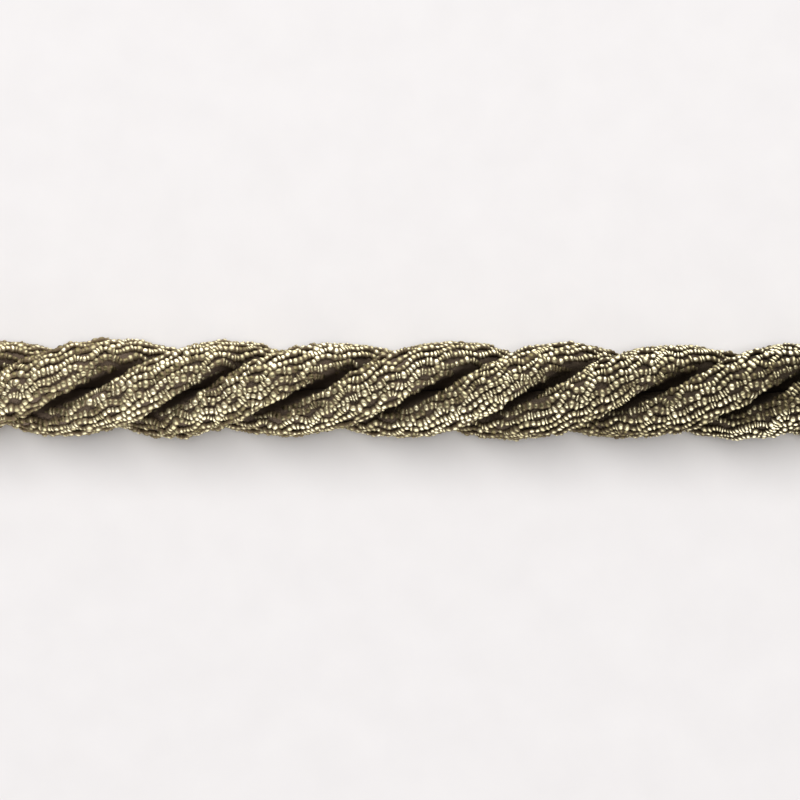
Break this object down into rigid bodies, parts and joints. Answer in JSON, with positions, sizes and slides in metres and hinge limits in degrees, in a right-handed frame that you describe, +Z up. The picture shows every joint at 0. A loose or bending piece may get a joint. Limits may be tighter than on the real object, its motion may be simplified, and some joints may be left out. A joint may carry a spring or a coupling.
{
  "type": "decorative cord",
  "caption": "Straight cut length of plump twisted trimming cord in pale brass metallised yarn, with deep spiral grooves and plain cut ends.",
  "frame": {"origin": "on the surface, under the middle of the cord's length and width", "axes": "+X along the cord, +Y across it, +Z up from the surface it lies on"},
  "size_m": [0.0844, 0.0062, 0.0058],
  "materials": {
    "metallised_yarn": "glittering pale brass wraps over a dark thread"
  },
  "bodies": {
    "root": {"ply_1": "metallised_yarn", "ply_2": "metallised_yarn", "ply_3": "metallised_yarn"}
  },
  "joints": []
}
